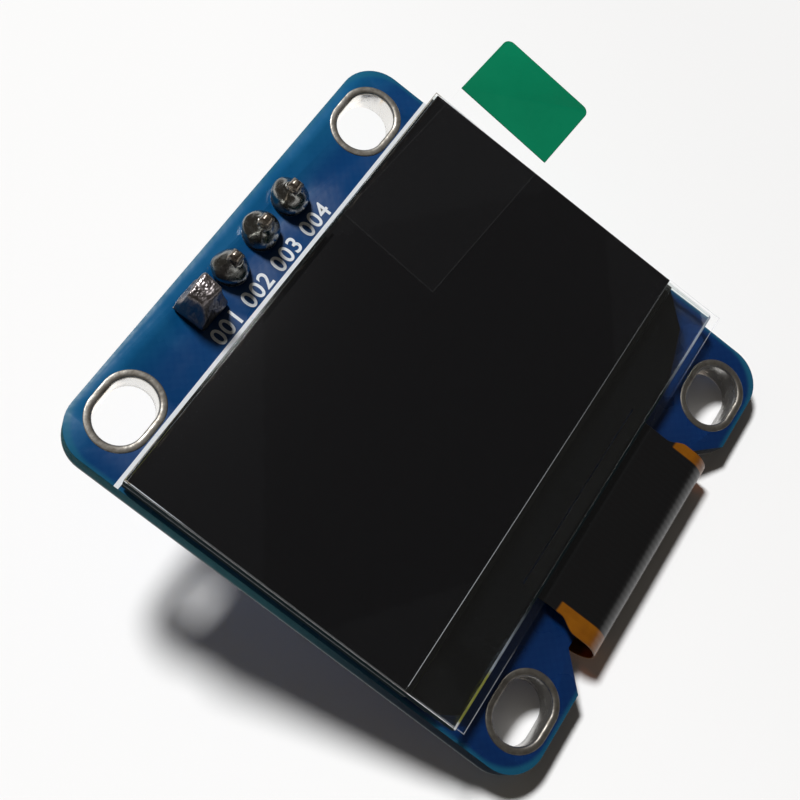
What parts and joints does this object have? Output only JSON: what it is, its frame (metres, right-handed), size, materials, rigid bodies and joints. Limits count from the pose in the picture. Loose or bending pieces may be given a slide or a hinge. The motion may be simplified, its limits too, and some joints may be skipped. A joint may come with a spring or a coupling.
{
  "type": "small oled display module",
  "caption": "Small OLED display on a blue circuit board with slotted mounting holes, a pin header behind one edge and a flex cable folded round the other.",
  "frame": {"origin": "centre of the rectangle of mounting slots, on the board's front face", "axes": "+X along the pin header from the first pin to the last, +Y towards the pin header, +Z out of the display"},
  "size_m": [0.0325, 0.0282, 0.0117],
  "materials": {
    "solder_mask": "glossy blue lacquer over glass-fibre board",
    "white_ink": "matte printed ink",
    "foam_tape": "matte",
    "dark_glass": "polished, coated black behind",
    "clear_glass": "polished",
    "polarizer_film": "satin black",
    "chip_silicon": "polished",
    "black_resin": "glossy black",
    "clear_film": "clear, glossy",
    "clear_tape": "clear, satin",
    "green_tape": "satin green",
    "flex_laminate": "black print on amber film",
    "tinned_copper": "tinned, satin",
    "plated_copper": "tinned, dull",
    "solder": "bright solder",
    "header_plastic": "moulded black",
    "moulded_resin": "moulded, fine matte",
    "tinned_leads": "tinned",
    "pin_metal": "gold-flashed",
    "capacitor_ceramic": "matte tan",
    "tinned_ends": "tinned",
    "resistor_coat": "black glaze"
  },
  "bodies": {
    "root": {"board": "solder_mask", "silk_line": "white_ink", "adhesive_pad": "foam_tape", "cap_glass": "dark_glass", "front_glass": "clear_glass", "polarizer": "polarizer_film", "driver_chip": "chip_silicon", "ledge_coat": "black_resin", "protective_film": "clear_film", "tab_clear": "clear_tape", "tab_grip": "green_tape", "flex_cable": "flex_laminate", "flex_contacts": "tinned_copper", "tail_pads": "plated_copper", "tail_solder": "solder", "header_body": "header_plastic", "component_pads": "plated_copper", "regulator_body": "moulded_resin", "regulator_leads": "tinned_leads", "slot_plating_1": "plated_copper", "slot_plating_2": "plated_copper", "slot_plating_3": "plated_copper", "slot_plating_4": "plated_copper", "pin_pad_1": "plated_copper", "pin_pad_2": "plated_copper", "pin_pad_3": "plated_copper", "pin_pad_4": "plated_copper", "pin_1": "pin_metal", "pin_2": "pin_metal", "pin_3": "pin_metal", "pin_4": "pin_metal", "pin_solder_1": "solder", "pin_solder_2": "solder", "pin_solder_3": "solder", "pin_solder_4": "solder", "capacitor_1": "capacitor_ceramic", "capacitor_2": "capacitor_ceramic", "capacitor_3": "capacitor_ceramic", "capacitor_4": "capacitor_ceramic", "capacitor_5": "capacitor_ceramic", "capacitor_ends_1": "tinned_ends", "capacitor_ends_2": "tinned_ends", "capacitor_ends_3": "tinned_ends", "capacitor_ends_4": "tinned_ends", "capacitor_ends_5": "tinned_ends", "resistor_1": "resistor_coat", "resistor_2": "resistor_coat", "resistor_3": "resistor_coat", "resistor_4": "resistor_coat", "resistor_5": "resistor_coat", "resistor_ends_1": "tinned_ends", "resistor_ends_2": "tinned_ends", "resistor_ends_3": "tinned_ends", "resistor_ends_4": "tinned_ends", "resistor_ends_5": "tinned_ends"}
  },
  "joints": []
}
